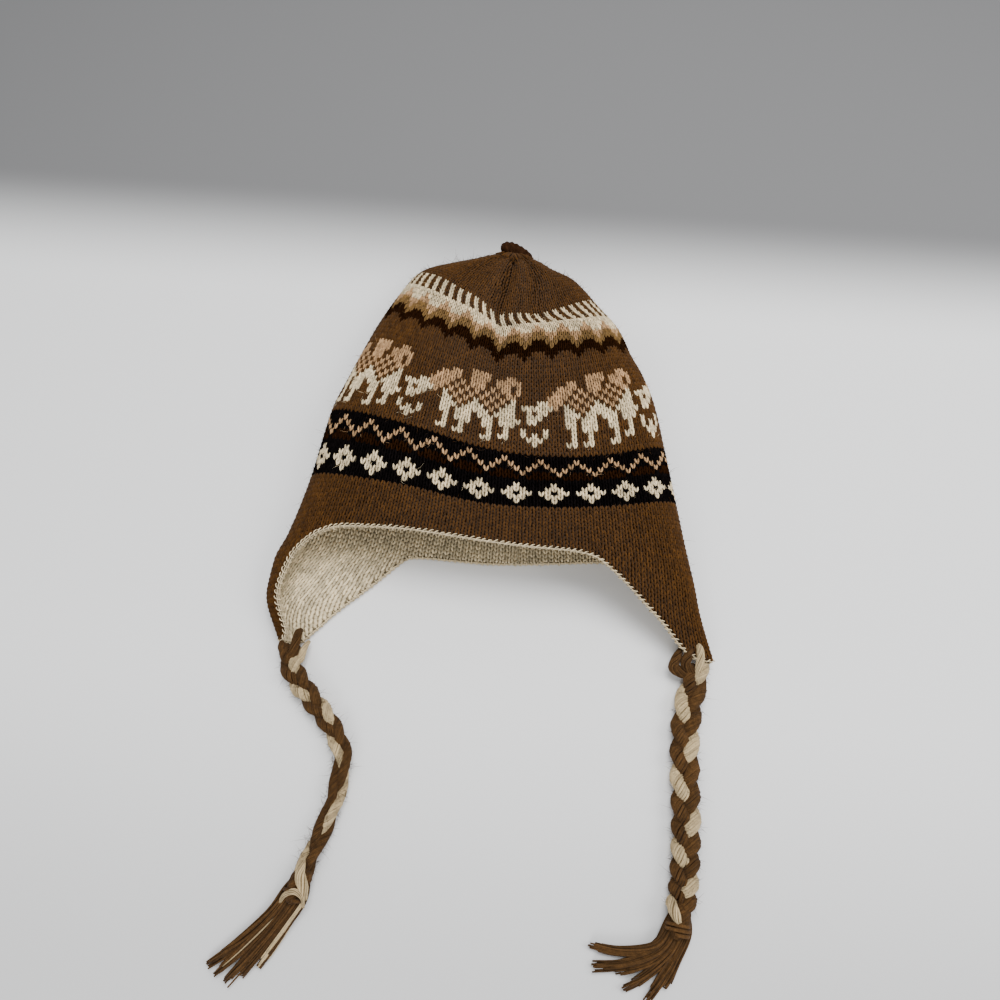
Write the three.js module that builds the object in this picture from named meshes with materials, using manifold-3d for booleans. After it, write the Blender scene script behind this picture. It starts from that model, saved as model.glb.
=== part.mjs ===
// Knitted chullo hat lying on its back: outer knit, lining, edge stitching, crown knot,
// two braided ties and their tassels. Millimetres, +Z up, +Y towards the crown.
// The origin is on the flat underside, below the middle of the hat.
import * as THREE from 'three';
import { mergeVertices } from 'three/addons/utils/BufferGeometryUtils.js';
import Module from 'manifold-3d';

// Driving sizes
const HAT_LENGTH = 231;      // crown to front brim, seen from above
const HAT_WIDTH = 250;       // across the brim
const PUFF_HEIGHT = 53;      // floor to the top of the body
const FOLD_HEIGHT = 10;      // floor to the widest point of a side fold
const OUTER_WALL = 2.2;      // thickness of the patterned knit
const LINING_WALL = 1.6;     // thickness of the lining
const GAP = 0.3;             // clearance between two pieces
const STITCH_RADIUS = 1.0;   // half thickness of the edge stitching
const KNOT_RADIUS = 5.4;     // half thickness of the crown knot at its thick end
const KNOT_TAPER = 0.65;     // its thin end as a share of its thick end
const KNOT_LENGTH = 23;      // crown knot from end to end
const KNOT_SHIFT = 2;        // how far right of the crown's tip its middle lies
const LEFT_BRAID_WIDTH = 14;
const RIGHT_BRAID_WIDTH = 17;
const BRAID_THICKNESS = 10;  // a braid lies flat, so it is thinner than it is wide
const BRAID_SIDES = 10;
const LOCK_RADIUS = 3.4;     // a tassel lock at its root
const LOCK_TIP_RADIUS = 1.5; // a tassel lock at its tip
const TIE_RADIUS = 6.6;      // the bound head of a tassel

// Grid density
const ROW_STEPS = 19;
const COLUMN_STEPS = 30;
const SECTION_SAMPLES = 40;
const STITCH_SIDES = 5;
const LOCK_SIDES = 6;
const LOCK_STEPS = 5;

// Side fold and middle of each station down the hat.
// down: share of the knit rows, 0 at the crown, 1 at the front brim, more on the ear flaps.
// leftX, rightX: side folds, shares of half the width. The Y columns: places of the side folds
// and of the front and back middles, shares of the length. leftLean, rightLean: how far the front
// rows between middle and fold lie nearer the crown, shares of the length. top, fold, under:
// heights of the front, of the fold and of the back, shares of the puff and fold heights.
const STATIONS = [
  { down: 0.00, leftX: -0.01, leftY: 0.485, rightX: 0.00, rightY: 0.485, frontY: 0.485, backY: 0.485,
    leftLean: 0.000, rightLean: 0.000, top: 0.46, fold: 2.44, under: 2.44 },
  { down: 0.03, leftX: -0.12, leftY: 0.490, rightX: 0.12, rightY: 0.480, frontY: 0.448, backY: 0.492,
    leftLean: 0.000, rightLean: 0.000, top: 0.56, fold: 2.00, under: 1.20 },
  { down: 0.07, leftX: -0.24, leftY: 0.470, rightX: 0.23, rightY: 0.452, frontY: 0.402, backY: 0.452,
    leftLean: 0.010, rightLean: 0.000, top: 0.64, fold: 1.65, under: 0.20 },
  { down: 0.14, leftX: -0.38, leftY: 0.447, rightX: 0.35, rightY: 0.426, frontY: 0.326, backY: 0.382,
    leftLean: 0.024, rightLean: -0.005, top: 0.72, fold: 1.45, under: 0.00 },
  { down: 0.20, leftX: -0.47, leftY: 0.432, rightX: 0.41, rightY: 0.397, frontY: 0.262, backY: 0.306,
    leftLean: 0.036, rightLean: -0.014, top: 0.77, fold: 1.35, under: 0.00 },
  { down: 0.26, leftX: -0.55, leftY: 0.400, rightX: 0.48, rightY: 0.350, frontY: 0.196, backY: 0.236,
    leftLean: 0.048, rightLean: -0.010, top: 0.82, fold: 1.30, under: 0.00 },
  { down: 0.34, leftX: -0.62, leftY: 0.330, rightX: 0.62, rightY: 0.252, frontY: 0.114, backY: 0.146,
    leftLean: 0.050, rightLean: 0.022, top: 0.88, fold: 1.20, under: 0.00 },
  { down: 0.43, leftX: -0.70, leftY: 0.226, rightX: 0.69, rightY: 0.168, frontY: 0.014, backY: 0.050,
    leftLean: 0.050, rightLean: 0.014, top: 0.92, fold: 1.10, under: 0.00 },
  { down: 0.49, leftX: -0.75, leftY: 0.140, rightX: 0.74, rightY: 0.120, frontY: -0.042, backY: -0.004,
    leftLean: 0.020, rightLean: -0.016, top: 0.96, fold: 1.05, under: 0.00 },
  { down: 0.59, leftX: -0.81, leftY: 0.022, rightX: 0.81, rightY: 0.022, frontY: -0.155, backY: -0.108,
    leftLean: 0.018, rightLean: -0.020, top: 0.98, fold: 1.00, under: 0.00 },
  { down: 0.69, leftX: -0.86, leftY: -0.092, rightX: 0.865, rightY: -0.120, frontY: -0.250, backY: -0.203,
    leftLean: 0.022, rightLean: -0.026, top: 1.00, fold: 1.00, under: 0.00 },
  { down: 0.86, leftX: -0.89, leftY: -0.300, rightX: 0.925, rightY: -0.288, frontY: -0.402, backY: -0.355,
    leftLean: 0.012, rightLean: -0.012, top: 0.98, fold: 1.00, under: 0.00 },
  { down: 1.00, leftX: -0.94, leftY: -0.470, rightX: 0.98, rightY: -0.437, frontY: -0.494, backY: -0.480,
    leftLean: 0.012, rightLean: -0.012, top: 0.93, fold: 1.00, under: 0.00 },
  { down: 1.06, leftX: -0.98, leftY: -0.540, rightX: 1.01, rightY: -0.505, frontY: -0.545, backY: -0.536,
    leftLean: 0.008, rightLean: -0.008, top: 0.82, fold: 0.96, under: 0.00 },
  { down: 1.13, leftX: -0.985, leftY: -0.612, rightX: 1.035, rightY: -0.575, frontY: -0.600, backY: -0.600,
    leftLean: 0.000, rightLean: 0.000, top: 0.66, fold: 0.90, under: 0.00 },
  { down: 1.28, leftX: -0.88, leftY: -0.745, rightX: 1.10, rightY: -0.690, frontY: -0.760, backY: -0.740,
    leftLean: 0.000, rightLean: 0.000, top: 0.27, fold: 0.75, under: 0.00 },
];

// Lower edge of the knit. around: share of the girth, 0 at the back middle, 0.25 near the right
// fold, 0.5 at the front middle, 0.75 near the left fold. down: as in the stations.
const EDGE = [
  { around: 0.000, down: 1.000 },
  { around: 0.140, down: 0.982 },
  { around: 0.166, down: 1.000 },
  { around: 0.192, down: 1.045 },
  { around: 0.212, down: 1.110 },
  { around: 0.223, down: 1.180 },
  { around: 0.231, down: 1.250 },
  { around: 0.241, down: 1.272 },
  { around: 0.254, down: 1.276 },
  { around: 0.268, down: 1.270 },
  { around: 0.284, down: 1.245 },
  { around: 0.305, down: 1.175 },
  { around: 0.332, down: 1.110 },
  { around: 0.358, down: 1.048 },
  { around: 0.384, down: 1.010 },
  { around: 0.412, down: 1.000 },
  { around: 0.660, down: 1.000 },
  { around: 0.688, down: 1.012 },
  { around: 0.711, down: 1.050 },
  { around: 0.732, down: 1.120 },
  { around: 0.754, down: 1.195 },
  { around: 0.774, down: 1.248 },
  { around: 0.793, down: 1.270 },
  { around: 0.811, down: 1.276 },
  { around: 0.833, down: 1.268 },
  { around: 0.850, down: 1.228 },
  { around: 0.868, down: 1.160 },
  { around: 0.890, down: 1.070 },
  { around: 0.912, down: 1.005 },
  { around: 0.940, down: 1.000 },
  { around: 0.965, down: 1.000 },
  { around: 1.000, down: 1.000 },
];

// Soft dents and swells of the front. around and down: middle. wide and long: half extents, as
// shares of the girth and of the rows. rise: height at the middle, share of the puff height.
const FOLDS = [
  { around: 0.505, down: 0.21, wide: 0.022, long: 0.12, rise: -0.070 },
  { around: 0.415, down: 0.22, wide: 0.020, long: 0.11, rise: -0.035 },
  { around: 0.600, down: 0.24, wide: 0.030, long: 0.12, rise: -0.025 },
  { around: 0.520, down: 0.80, wide: 0.050, long: 0.16, rise: -0.040 },
  { around: 0.585, down: 0.84, wide: 0.040, long: 0.15, rise: 0.035 },
  { around: 0.410, down: 0.80, wide: 0.050, long: 0.20, rise: 0.025 },
];

// Small gathers that run out from the crown over the front. rise: share of the puff height.
const GATHERS = { count: 11, rise: 0.017, toDown: 0.17 };

// The left flap lies turned: its knit slips over the fold towards the back.
const SLIP = { around: 0.82, wide: 0.13, fromDown: 0.98, toDown: 1.28, most: 0.058 };

// The braids' middle lines on the floor, from the flap tips to the tassel heads
const LEFT_BRAID_ROUTE = [
  [-102.4, -172.9], [-102.0, -180.0], [-98.2, -187.5], [-91.0, -195.5], [-82.5, -203.5],
  [-74.5, -211.0], [-68.0, -219.0], [-63.5, -227.0], [-62.0, -235.5], [-62.2, -244.0],
  [-63.2, -253.0], [-65.0, -262.0], [-67.6, -270.5], [-70.2, -279.0], [-72.2, -287.5],
];
const RIGHT_BRAID_ROUTE = [
  [127.8, -161.8], [127.2, -168.5], [124.6, -177.5], [122.4, -188.0], [121.2, -199.0],
  [120.9, -209.0], [120.8, -219.0], [121.0, -229.0], [121.2, -239.0], [121.1, -249.0],
  [120.8, -258.0], [120.3, -267.0], [119.5, -276.0], [118.2, -284.0],
];

// Where each bound head ends, and the tips of its locks on the floor
const LEFT_TASSEL = {
  neck: [-77.0, -302.5],
  tips: [[-111.5, -331.0], [-107.0, -334.5], [-101.0, -337.5], [-94.0, -334.0], [-86.0, -329.5]],
};
const RIGHT_TASSEL = {
  neck: [114.6, -300.0],
  tips: [[73.5, -304.5], [75.5, -313.5], [86.0, -314.5], [90.5, -321.5], [101.5, -325.5],
    [110.5, -319.0]],
};

const wasm = await Module();
wasm.setup();

// Monotone cubic through a table's column, flat past its ends
function columnCurve(rows, key, value) {
  const x = rows.map((row) => row[key]);
  const y = rows.map((row) => row[value]);
  const last = x.length - 1;
  const slope = x.slice(1).map((end, i) => (y[i + 1] - y[i]) / (end - x[i]));
  const lean = x.map((_, i) => {
    if (i === 0) return slope[0];
    if (i === last) return slope[last - 1];
    if (slope[i - 1] * slope[i] <= 0) return 0;
    return 2 * slope[i - 1] * slope[i] / (slope[i - 1] + slope[i]);
  });
  return (at) => {
    const held = THREE.MathUtils.clamp(at, x[0], x[last]);
    let i = 0;
    while (i < last - 1 && held > x[i + 1]) i += 1;
    const span = x[i + 1] - x[i];
    const t = (held - x[i]) / span;
    const away = (1 - t) * (1 - t);
    return y[i] * (1 + 2 * t) * away + lean[i] * span * t * away
      + y[i + 1] * t * t * (3 - 2 * t) - lean[i + 1] * span * t * t * (1 - t);
  };
}

const edgeDown = columnCurve(EDGE, 'around', 'down');
const station = {};
for (const key of Object.keys(STATIONS[0])) station[key] = columnCurve(STATIONS, 'down', key);

// Real sizes of the section at one place down the hat
function sectionAt(down) {
  const half = HAT_WIDTH / 2;
  const left = station.leftX(down) * half;
  const right = station.rightX(down) * half;
  const under = station.under(down) * FOLD_HEIGHT;
  const fold = Math.max(station.fold(down) * FOLD_HEIGHT, under);
  return {
    middle: (left + right) / 2,
    half: Math.max((right - left) / 2, 0.01),
    under,
    fold,
    top: Math.max(station.top(down) * PUFF_HEIGHT, fold),
    leftY: station.leftY(down) * HAT_LENGTH,
    rightY: station.rightY(down) * HAT_LENGTH,
    frontY: station.frontY(down) * HAT_LENGTH,
    backY: station.backY(down) * HAT_LENGTH,
    leftLean: station.leftLean(down) * HAT_LENGTH,
    rightLean: station.rightLean(down) * HAT_LENGTH,
  };
}

// A quarter of a section, from the middle (0) to the side fold (1), as [x share, height]
function upperQuarter(section, t) {
  const angle = t * Math.PI / 2;
  const arch = 0.92;
  return [Math.sin(angle) ** arch, section.fold + (section.top - section.fold) * Math.cos(angle)];
}
function lowerQuarter(section, t) {
  const radius = Math.min(section.fold - section.under, section.half * 0.9);
  const flat = section.half - radius;
  const length = flat + radius * Math.PI / 2;
  const along = t * length;
  if (along <= flat) return [along / section.half, section.under];
  const angle = (along - flat) / Math.max(radius, 0.01);
  const rise = (section.fold - section.under) * (1 - Math.cos(angle));
  return [(flat + radius * Math.sin(angle)) / section.half, section.under + rise];
}

// Point of a section at a share of its girth, measured from the middle of the back
function sectionPoint(section, around) {
  const points = [];
  for (let i = 0; i < SECTION_SAMPLES; i += 1) {
    points.push([...lowerQuarter(section, i / SECTION_SAMPLES), 0]);
  }
  for (let i = SECTION_SAMPLES; i >= 0; i -= 1) {
    points.push([...upperQuarter(section, i / SECTION_SAMPLES), 1]);
  }
  const reach = [0];
  for (let i = 1; i < points.length; i += 1) {
    const dx = (points[i][0] - points[i - 1][0]) * section.half;
    reach.push(reach[i - 1] + Math.hypot(dx, points[i][1] - points[i - 1][1]));
  }
  const wrapped = around - Math.floor(around);
  const side = wrapped <= 0.5 ? 1 : -1;
  const wanted = (wrapped <= 0.5 ? wrapped : 1 - wrapped) * 2 * reach[reach.length - 1];
  let i = 0;
  while (i < reach.length - 2 && wanted > reach[i + 1]) i += 1;
  const t = THREE.MathUtils.clamp((wanted - reach[i]) / (reach[i + 1] - reach[i]), 0, 1);
  const share = points[i][0] + (points[i + 1][0] - points[i][0]) * t;
  const height = points[i][1] + (points[i + 1][1] - points[i][1]) * t;
  const front = i >= SECTION_SAMPLES;
  const sideY = side > 0 ? section.rightY : section.leftY;
  const middleY = front ? section.frontY : section.backY;
  const bend = share ** 1.9;
  const lean = front ? (side > 0 ? section.rightLean : section.leftLean) : 0;
  return new THREE.Vector3(
    section.middle + side * share * section.half,
    middleY + (sideY - middleY) * bend + lean * Math.sin(Math.PI * share),
    height,
  );
}

function slipAt(around, down) {
  const across = THREE.MathUtils.clamp(Math.abs(around - SLIP.around) / SLIP.wide, 0, 1);
  const along = THREE.MathUtils.smoothstep(down, SLIP.fromDown, SLIP.toDown);
  return SLIP.most * along * Math.cos(across * Math.PI / 2) ** 2;
}

function foldRise(around, down) {
  let rise = 0;
  for (const fold of FOLDS) {
    const across = (around - fold.around) / fold.wide;
    const along = (down - fold.down) / fold.long;
    rise += fold.rise * PUFF_HEIGHT * Math.exp(-(across * across + along * along));
  }
  const frontShare = (0.5 - 0.5 * Math.cos(2 * Math.PI * around)) ** 2;
  const fade = Math.sin(Math.PI * THREE.MathUtils.clamp(down / GATHERS.toDown, 0, 1));
  const wave = Math.cos(2 * Math.PI * GATHERS.count * around);
  rise += GATHERS.rise * PUFF_HEIGHT * frontShare * fade * wave;
  return rise;
}

// The outer face of the knit
function knitPoint(around, down) {
  const point = sectionPoint(sectionAt(down), around - slipAt(around, down));
  point.z += foldRise(around, down);
  return point;
}

function knitNormal(around, down) {
  const step = 0.004;
  const low = Math.max(down - step, step);
  const across = knitPoint(around + step, low + step).sub(knitPoint(around - step, low + step));
  const along = knitPoint(around, low + 2 * step).sub(knitPoint(around, low));
  return across.cross(along).normalize();
}

function depthPoint(around, down, depth) {
  return knitPoint(around, down).addScaledVector(knitNormal(around, down), -depth);
}

// Columns round the hat: every row of the edge table, and more between where they are far apart
function columnPlaces() {
  const places = [];
  for (let i = 0; i < EDGE.length - 1; i += 1) {
    const start = EDGE[i].around;
    const span = EDGE[i + 1].around - start;
    const count = Math.ceil(span * COLUMN_STEPS);
    for (let k = 0; k < count; k += 1) places.push(start + span * k / count);
  }
  return places;
}
const COLUMNS = columnPlaces();
const CROWN_NORMAL = new THREE.Vector3(0, 0.83, 0.56);

function solidGeometry(vertices, triangles) {
  const geometry = new THREE.BufferGeometry();
  geometry.setAttribute('position', new THREE.Float32BufferAttribute(vertices.flatMap((v) => [...v]), 3));
  geometry.setIndex(triangles.flat());
  geometry.computeVertexNormals();
  return geometry;
}

// A cap of knit between two depths: closed over the crown, open at the lower edge
function knitCap(outerDepth, innerDepth) {
  const count = COLUMNS.length;
  const vertices = [];
  const triangles = [];
  const layers = [outerDepth, innerDepth].map((depth) => {
    const pole = vertices.length;
    vertices.push(knitPoint(0, 0).addScaledVector(CROWN_NORMAL, -depth));
    for (let row = 1; row <= ROW_STEPS; row += 1) {
      const share = (row / ROW_STEPS) ** 1.12;
      for (const around of COLUMNS) {
        vertices.push(depthPoint(around, edgeDown(around) * share, depth));
      }
    }
    return { pole, at: (row, column) => pole + 1 + (row - 1) * count + (column % count) };
  });
  layers.forEach(({ pole, at }, inside) => {
    const face = (a, b, c) => triangles.push(inside ? [a, b, c] : [a, c, b]);
    for (let column = 0; column < count; column += 1) {
      face(pole, at(1, column), at(1, column + 1));
      for (let row = 1; row < ROW_STEPS; row += 1) {
        face(at(row, column), at(row + 1, column), at(row + 1, column + 1));
        face(at(row, column), at(row + 1, column + 1), at(row, column + 1));
      }
    }
  });
  const [outer, inner] = layers;
  for (let column = 0; column < count; column += 1) {
    const a = outer.at(ROW_STEPS, column);
    const b = outer.at(ROW_STEPS, column + 1);
    const c = inner.at(ROW_STEPS, column + 1);
    const d = inner.at(ROW_STEPS, column);
    triangles.push([a, c, d], [a, b, c]);
  }
  return solidGeometry(vertices, triangles);
}

// A closed ring of stitches just past the lower edge of both knits
function edgeRing() {
  const depth = (OUTER_WALL + GAP + LINING_WALL) / 2;
  const count = COLUMNS.length;
  const vertices = [];
  const triangles = [];
  const rim = (around) => depthPoint(around, edgeDown(around - Math.floor(around)), depth);
  COLUMNS.forEach((around) => {
    const tangent = rim(around + 0.004).sub(rim(around - 0.004)).normalize();
    const normal = knitNormal(around, edgeDown(around));
    const outward = new THREE.Vector3().crossVectors(normal, tangent).normalize();
    const centre = rim(around).addScaledVector(outward, STITCH_RADIUS + GAP * 1.5);
    for (let side = 0; side < STITCH_SIDES; side += 1) {
      const angle = Math.PI * 2 * side / STITCH_SIDES;
      vertices.push(centre.clone()
        .addScaledVector(outward, STITCH_RADIUS * Math.cos(angle))
        .addScaledVector(normal, STITCH_RADIUS * Math.sin(angle)));
    }
  });
  for (let i = 0; i < count; i += 1) {
    for (let side = 0; side < STITCH_SIDES; side += 1) {
      const next = (side + 1) % STITCH_SIDES;
      const a = i * STITCH_SIDES + side;
      const b = i * STITCH_SIDES + next;
      const c = ((i + 1) % count) * STITCH_SIDES + next;
      const d = ((i + 1) % count) * STITCH_SIDES + side;
      triangles.push([a, b, c], [a, c, d]);
    }
  }
  return solidGeometry(vertices, triangles);
}

// A closed round strand through points, with a radius at each step
function strandGeometry(points, radiusAt, steps, sides) {
  const curve = new THREE.CatmullRomCurve3(points, false, 'centripetal');
  const frames = curve.computeFrenetFrames(steps, false);
  const vertices = [];
  const triangles = [];
  for (let i = 0; i <= steps; i += 1) {
    const centre = curve.getPointAt(i / steps);
    const radius = radiusAt(i / steps);
    for (let side = 0; side < sides; side += 1) {
      const angle = Math.PI * 2 * side / sides;
      vertices.push(centre.clone()
        .addScaledVector(frames.normals[i], radius * Math.cos(angle))
        .addScaledVector(frames.binormals[i], radius * Math.sin(angle)));
    }
  }
  const first = vertices.push(curve.getPointAt(0)) - 1;
  const last = vertices.push(curve.getPointAt(1)) - 1;
  for (let side = 0; side < sides; side += 1) {
    const next = (side + 1) % sides;
    for (let i = 0; i < steps; i += 1) {
      const a = i * sides + side;
      const b = i * sides + next;
      triangles.push([a, b, b + sides], [a, b + sides, a + sides]);
    }
    triangles.push([first, next, side], [last, steps * sides + side, steps * sides + next]);
  }
  return solidGeometry(vertices, triangles);
}

function toSolid(geometry) {
  const bare = geometry.clone();
  bare.deleteAttribute('normal');
  if (bare.getAttribute('uv')) bare.deleteAttribute('uv');
  const merged = mergeVertices(bare);
  const mesh = new wasm.Mesh({
    numProp: 3,
    vertProperties: new Float32Array(merged.getAttribute('position').array),
    triVerts: new Uint32Array(merged.getIndex().array),
  });
  return new wasm.Manifold(mesh);
}

function fromSolid(solid) {
  const mesh = solid.getMesh();
  const geometry = new THREE.BufferGeometry();
  geometry.setAttribute('position', new THREE.BufferAttribute(new Float32Array(mesh.vertProperties), 3));
  geometry.setIndex(new THREE.BufferAttribute(new Uint32Array(mesh.triVerts), 1));
  geometry.computeVertexNormals();
  return geometry;
}

// The gathered end of the crown: a short fat strand laid across the tip, thinner to the right
function crownKnot() {
  const thickness = (place) => KNOT_RADIUS * THREE.MathUtils.lerp(1, KNOT_TAPER, (place + 1) / 2);
  const points = [-1, -0.55, 0, 0.55, 1].map((place) => knitPoint(0, 0)
    .add(new THREE.Vector3(KNOT_SHIFT + place * KNOT_LENGTH / 2, 0, 0))
    .addScaledVector(CROWN_NORMAL, thickness(place) + GAP));
  const radiusAt = (t) => thickness(2 * t - 1) * Math.sqrt(Math.max(1 - (2 * t - 1) ** 4, 0.12));
  return strandGeometry(points, radiusAt, 8, 8);
}

// A braid's middle line lies half a thickness above the floor
function onFloor([x, y]) {
  return new THREE.Vector3(x, y, BRAID_THICKNESS / 2);
}

// A braid's envelope: a flattened tube along its route
function braidTube(route, width) {
  const section = new THREE.Shape();
  for (let side = 0; side < BRAID_SIDES; side += 1) {
    const angle = Math.PI * 2 * side / BRAID_SIDES;
    const x = BRAID_THICKNESS / 2 * Math.cos(angle);
    const y = width / 2 * Math.sin(angle);
    if (side === 0) section.moveTo(x, y);
    else section.lineTo(x, y);
  }
  section.closePath();
  const path = new THREE.CatmullRomCurve3(route.map(onFloor), false, 'centripetal');
  const steps = Math.round(path.getLength() / (BRAID_THICKNESS * 0.75));
  return new THREE.ExtrudeGeometry(section, { steps, bevelEnabled: false, extrudePath: path });
}

// A bound head that starts at its braid's end, with locks of yarn that fan out over the floor
function tassel(route, { neck, tips }) {
  const braidEnd = onFloor(route[route.length - 1]);
  const before = onFloor(route[route.length - 2]);
  const headHeight = TIE_RADIUS * 1.07;
  const onward = braidEnd.clone().sub(before).normalize();
  const start = braidEnd.clone().addScaledVector(onward, GAP * 3);
  const end = new THREE.Vector3(neck[0], neck[1], headHeight);
  const middle = start.clone().addScaledVector(onward, start.distanceTo(end) / 2).setZ(headHeight);
  const headRadius = (t) => TIE_RADIUS * Math.sqrt(Math.max(1 - (2 * t - 1) ** 4 * 0.9, 0.1));
  let solid = toSolid(strandGeometry([start, middle, end], headRadius, 6, 10));
  const flow = end.clone().sub(middle);
  const across = new THREE.Vector3(flow.y, -flow.x, 0).normalize();
  tips.forEach(([x, y], i) => {
    const spread = across.clone().multiplyScalar((i / (tips.length - 1) - 0.5) * TIE_RADIUS);
    const tip = new THREE.Vector3(x, y, LOCK_TIP_RADIUS * 1.15);
    const root = middle.clone().add(spread).setZ(TIE_RADIUS * 0.8);
    const knee = end.clone().addScaledVector(flow, 0.35).add(spread).lerp(tip, 0.1).setZ(LOCK_RADIUS);
    const reach = knee.clone().lerp(tip, 0.5).addScaledVector(flow, 0.35).setZ(LOCK_RADIUS * 0.8);
    const radiusAt = (t) => LOCK_RADIUS + (LOCK_TIP_RADIUS - LOCK_RADIUS) * t;
    solid = solid.add(toSolid(strandGeometry([root, knee, reach, tip], radiusAt, LOCK_STEPS, LOCK_SIDES)));
  });
  return fromSolid(solid);
}

function knitMaterial(color) {
  return new THREE.MeshStandardMaterial({ color, roughness: 0.95, metalness: 0 });
}

const BROWN = 0x7a5228;
const CREAM = 0xe6dcc6;
const DARK_BROWN = 0x3d2415;

function piece(name, geometry, material) {
  const mesh = new THREE.Mesh(geometry, material);
  mesh.name = name;
  return mesh;
}

const innerFace = OUTER_WALL + GAP;
const hat = new THREE.Group();
hat.add(piece('outer_knit', knitCap(0, OUTER_WALL), knitMaterial(BROWN)));
hat.add(piece('lining', knitCap(innerFace, innerFace + LINING_WALL), knitMaterial(CREAM)));
hat.add(piece('edge_stitching', edgeRing(), knitMaterial(CREAM)));
hat.add(piece('crown_knot', crownKnot(), knitMaterial(DARK_BROWN)));
hat.add(piece('left_braid', braidTube(LEFT_BRAID_ROUTE, LEFT_BRAID_WIDTH), knitMaterial(BROWN)));
hat.add(piece('right_braid', braidTube(RIGHT_BRAID_ROUTE, RIGHT_BRAID_WIDTH), knitMaterial(BROWN)));
hat.add(piece('left_tassel', tassel(LEFT_BRAID_ROUTE, LEFT_TASSEL), knitMaterial(BROWN)));
hat.add(piece('right_tassel', tassel(RIGHT_BRAID_ROUTE, RIGHT_TASSEL), knitMaterial(BROWN)));

export default hat;
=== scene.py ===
"""A knitted chullo hat that lies on its back, with its ear flaps, braided ties and tassels."""
import math

import bpy
import numpy as np
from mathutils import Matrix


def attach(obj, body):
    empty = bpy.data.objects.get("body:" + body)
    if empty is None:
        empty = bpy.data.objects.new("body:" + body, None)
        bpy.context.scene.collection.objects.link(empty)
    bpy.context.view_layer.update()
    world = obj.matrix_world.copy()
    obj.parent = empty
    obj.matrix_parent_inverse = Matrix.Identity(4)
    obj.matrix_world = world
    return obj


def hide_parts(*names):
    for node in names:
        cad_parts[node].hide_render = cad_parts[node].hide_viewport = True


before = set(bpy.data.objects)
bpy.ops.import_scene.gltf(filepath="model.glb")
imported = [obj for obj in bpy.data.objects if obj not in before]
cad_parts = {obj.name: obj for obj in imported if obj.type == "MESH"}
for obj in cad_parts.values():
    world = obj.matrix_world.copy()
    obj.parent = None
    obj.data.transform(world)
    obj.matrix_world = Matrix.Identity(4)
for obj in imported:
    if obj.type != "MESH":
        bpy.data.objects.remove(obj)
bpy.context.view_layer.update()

# Lengths are millimetres in the hat's own frame, and make_piece turns them into metres.
MM = 0.001

# Sizes that the solid model has too
HAT_LENGTH = 231.0
HAT_WIDTH = 250.0
PUFF_HEIGHT = 53.0
FOLD_HEIGHT = 10.0
OUTER_WALL = 2.2
LINING_WALL = 1.6
GAP = 0.3
KNOT_RADIUS = 5.4
KNOT_TAPER = 0.65
KNOT_LENGTH = 23.0
KNOT_SHIFT = 2.0
LEFT_BRAID_WIDTH = 14.0
RIGHT_BRAID_WIDTH = 17.0
BRAID_THICKNESS = 10.0
LOCK_RADIUS = 3.4
LOCK_TIP_RADIUS = 1.5
TIE_RADIUS = 6.6

# Side folds and middles down the hat, as shares of half the width, the length and the heights
STATION_COLUMNS = ("down", "left_x", "left_y", "right_x", "right_y", "front_y", "back_y",
                   "left_lean", "right_lean", "top", "fold", "under")
STATIONS = (
    (0.00, -0.01, 0.485, 0.00, 0.485, 0.485, 0.485, 0.000, 0.000, 0.46, 2.44, 2.44),
    (0.03, -0.12, 0.490, 0.12, 0.480, 0.448, 0.492, 0.000, 0.000, 0.56, 2.00, 1.20),
    (0.07, -0.24, 0.470, 0.23, 0.452, 0.402, 0.452, 0.010, 0.000, 0.64, 1.65, 0.20),
    (0.14, -0.38, 0.447, 0.35, 0.426, 0.326, 0.382, 0.024, -0.005, 0.72, 1.45, 0.00),
    (0.20, -0.47, 0.432, 0.41, 0.397, 0.262, 0.306, 0.036, -0.014, 0.77, 1.35, 0.00),
    (0.26, -0.55, 0.400, 0.48, 0.350, 0.196, 0.236, 0.048, -0.010, 0.82, 1.30, 0.00),
    (0.34, -0.62, 0.330, 0.62, 0.252, 0.114, 0.146, 0.050, 0.022, 0.88, 1.20, 0.00),
    (0.43, -0.70, 0.226, 0.69, 0.168, 0.014, 0.050, 0.050, 0.014, 0.92, 1.10, 0.00),
    (0.49, -0.75, 0.140, 0.74, 0.120, -0.042, -0.004, 0.020, -0.016, 0.96, 1.05, 0.00),
    (0.59, -0.81, 0.022, 0.81, 0.022, -0.155, -0.108, 0.018, -0.020, 0.98, 1.00, 0.00),
    (0.69, -0.86, -0.092, 0.865, -0.120, -0.250, -0.203, 0.022, -0.026, 1.00, 1.00, 0.00),
    (0.86, -0.89, -0.300, 0.925, -0.288, -0.402, -0.355, 0.012, -0.012, 0.98, 1.00, 0.00),
    (1.00, -0.94, -0.470, 0.98, -0.437, -0.494, -0.480, 0.012, -0.012, 0.93, 1.00, 0.00),
    (1.06, -0.98, -0.540, 1.01, -0.505, -0.545, -0.536, 0.008, -0.008, 0.82, 0.96, 0.00),
    (1.13, -0.985, -0.612, 1.035, -0.575, -0.600, -0.600, 0.000, 0.000, 0.66, 0.90, 0.00),
    (1.28, -0.88, -0.745, 1.10, -0.690, -0.760, -0.740, 0.000, 0.000, 0.27, 0.75, 0.00),
)

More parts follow.
